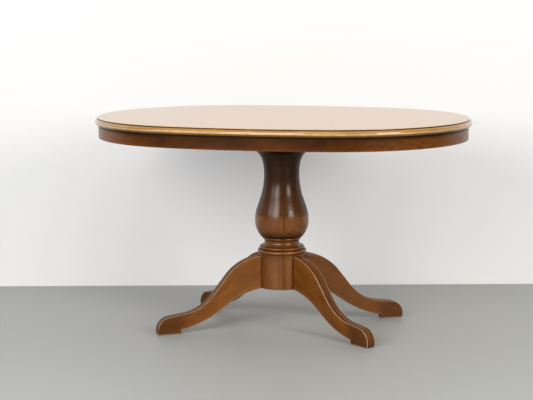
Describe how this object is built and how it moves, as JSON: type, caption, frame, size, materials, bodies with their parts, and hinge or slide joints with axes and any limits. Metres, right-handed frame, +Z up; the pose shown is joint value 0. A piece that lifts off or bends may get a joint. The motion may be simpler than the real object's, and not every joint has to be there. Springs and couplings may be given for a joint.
{
  "type": "oval pedestal table",
  "caption": "Oval dining table: moulded top with an apron on a turned bulb column, carried by splayed S-curve legs with moulded upper edges.",
  "frame": {"origin": "on the floor, under the centre of the top", "axes": "+X along the long axis of the top, +Y to the back, +Z up"},
  "size_m": [1.282, 0.9298, 0.72],
  "materials": {
    "veneer": "clear satin lacquer over stained face veneer",
    "edging": "clear lacquer over golden-brown solid wood",
    "apron_wood": "dark red-brown stain under satin lacquer",
    "column_wood": "brown stain under satin lacquer, darker in the hollows",
    "leg_wood": "mid-brown stain under satin lacquer",
    "inner_wood": "unfinished softwood",
    "core_board": "raw board",
    "fixings": "zinc-plated steel",
    "felt": "pressed wool felt"
  },
  "bodies": {
    "root": {"top_veneer": "veneer", "top_core": "core_board", "top_backing": "inner_wood", "edging_front": "edging", "edging_rear": "edging", "edging_right_front": "edging", "edging_right_rear": "edging", "edging_left_front": "edging", "edging_left_rear": "edging", "apron_front": "apron_wood", "apron_rear": "apron_wood", "apron_right": "apron_wood", "apron_left": "apron_wood", "glue_blocks": "inner_wood", "glue_block_screws": "fixings", "bearer_front": "inner_wood", "bearer_rear": "inner_wood", "bearer_screws": "fixings", "mounting_board": "inner_wood", "board_screws": "fixings", "column_left_half": "column_wood", "column_right_half": "column_wood", "base_cover": "core_board", "cover_screws": "fixings", "tie_rod": "fixings", "rod_washers": "fixings", "rod_nuts": "fixings", "leg_front_left": "leg_wood", "leg_front_right": "leg_wood", "leg_rear_left": "leg_wood", "leg_rear_right": "leg_wood", "leg_dowels": "inner_wood", "hanger_bolts": "fixings", "hanger_washers": "fixings", "hanger_nuts": "fixings", "felt_pads": "felt"}
  },
  "joints": []
}
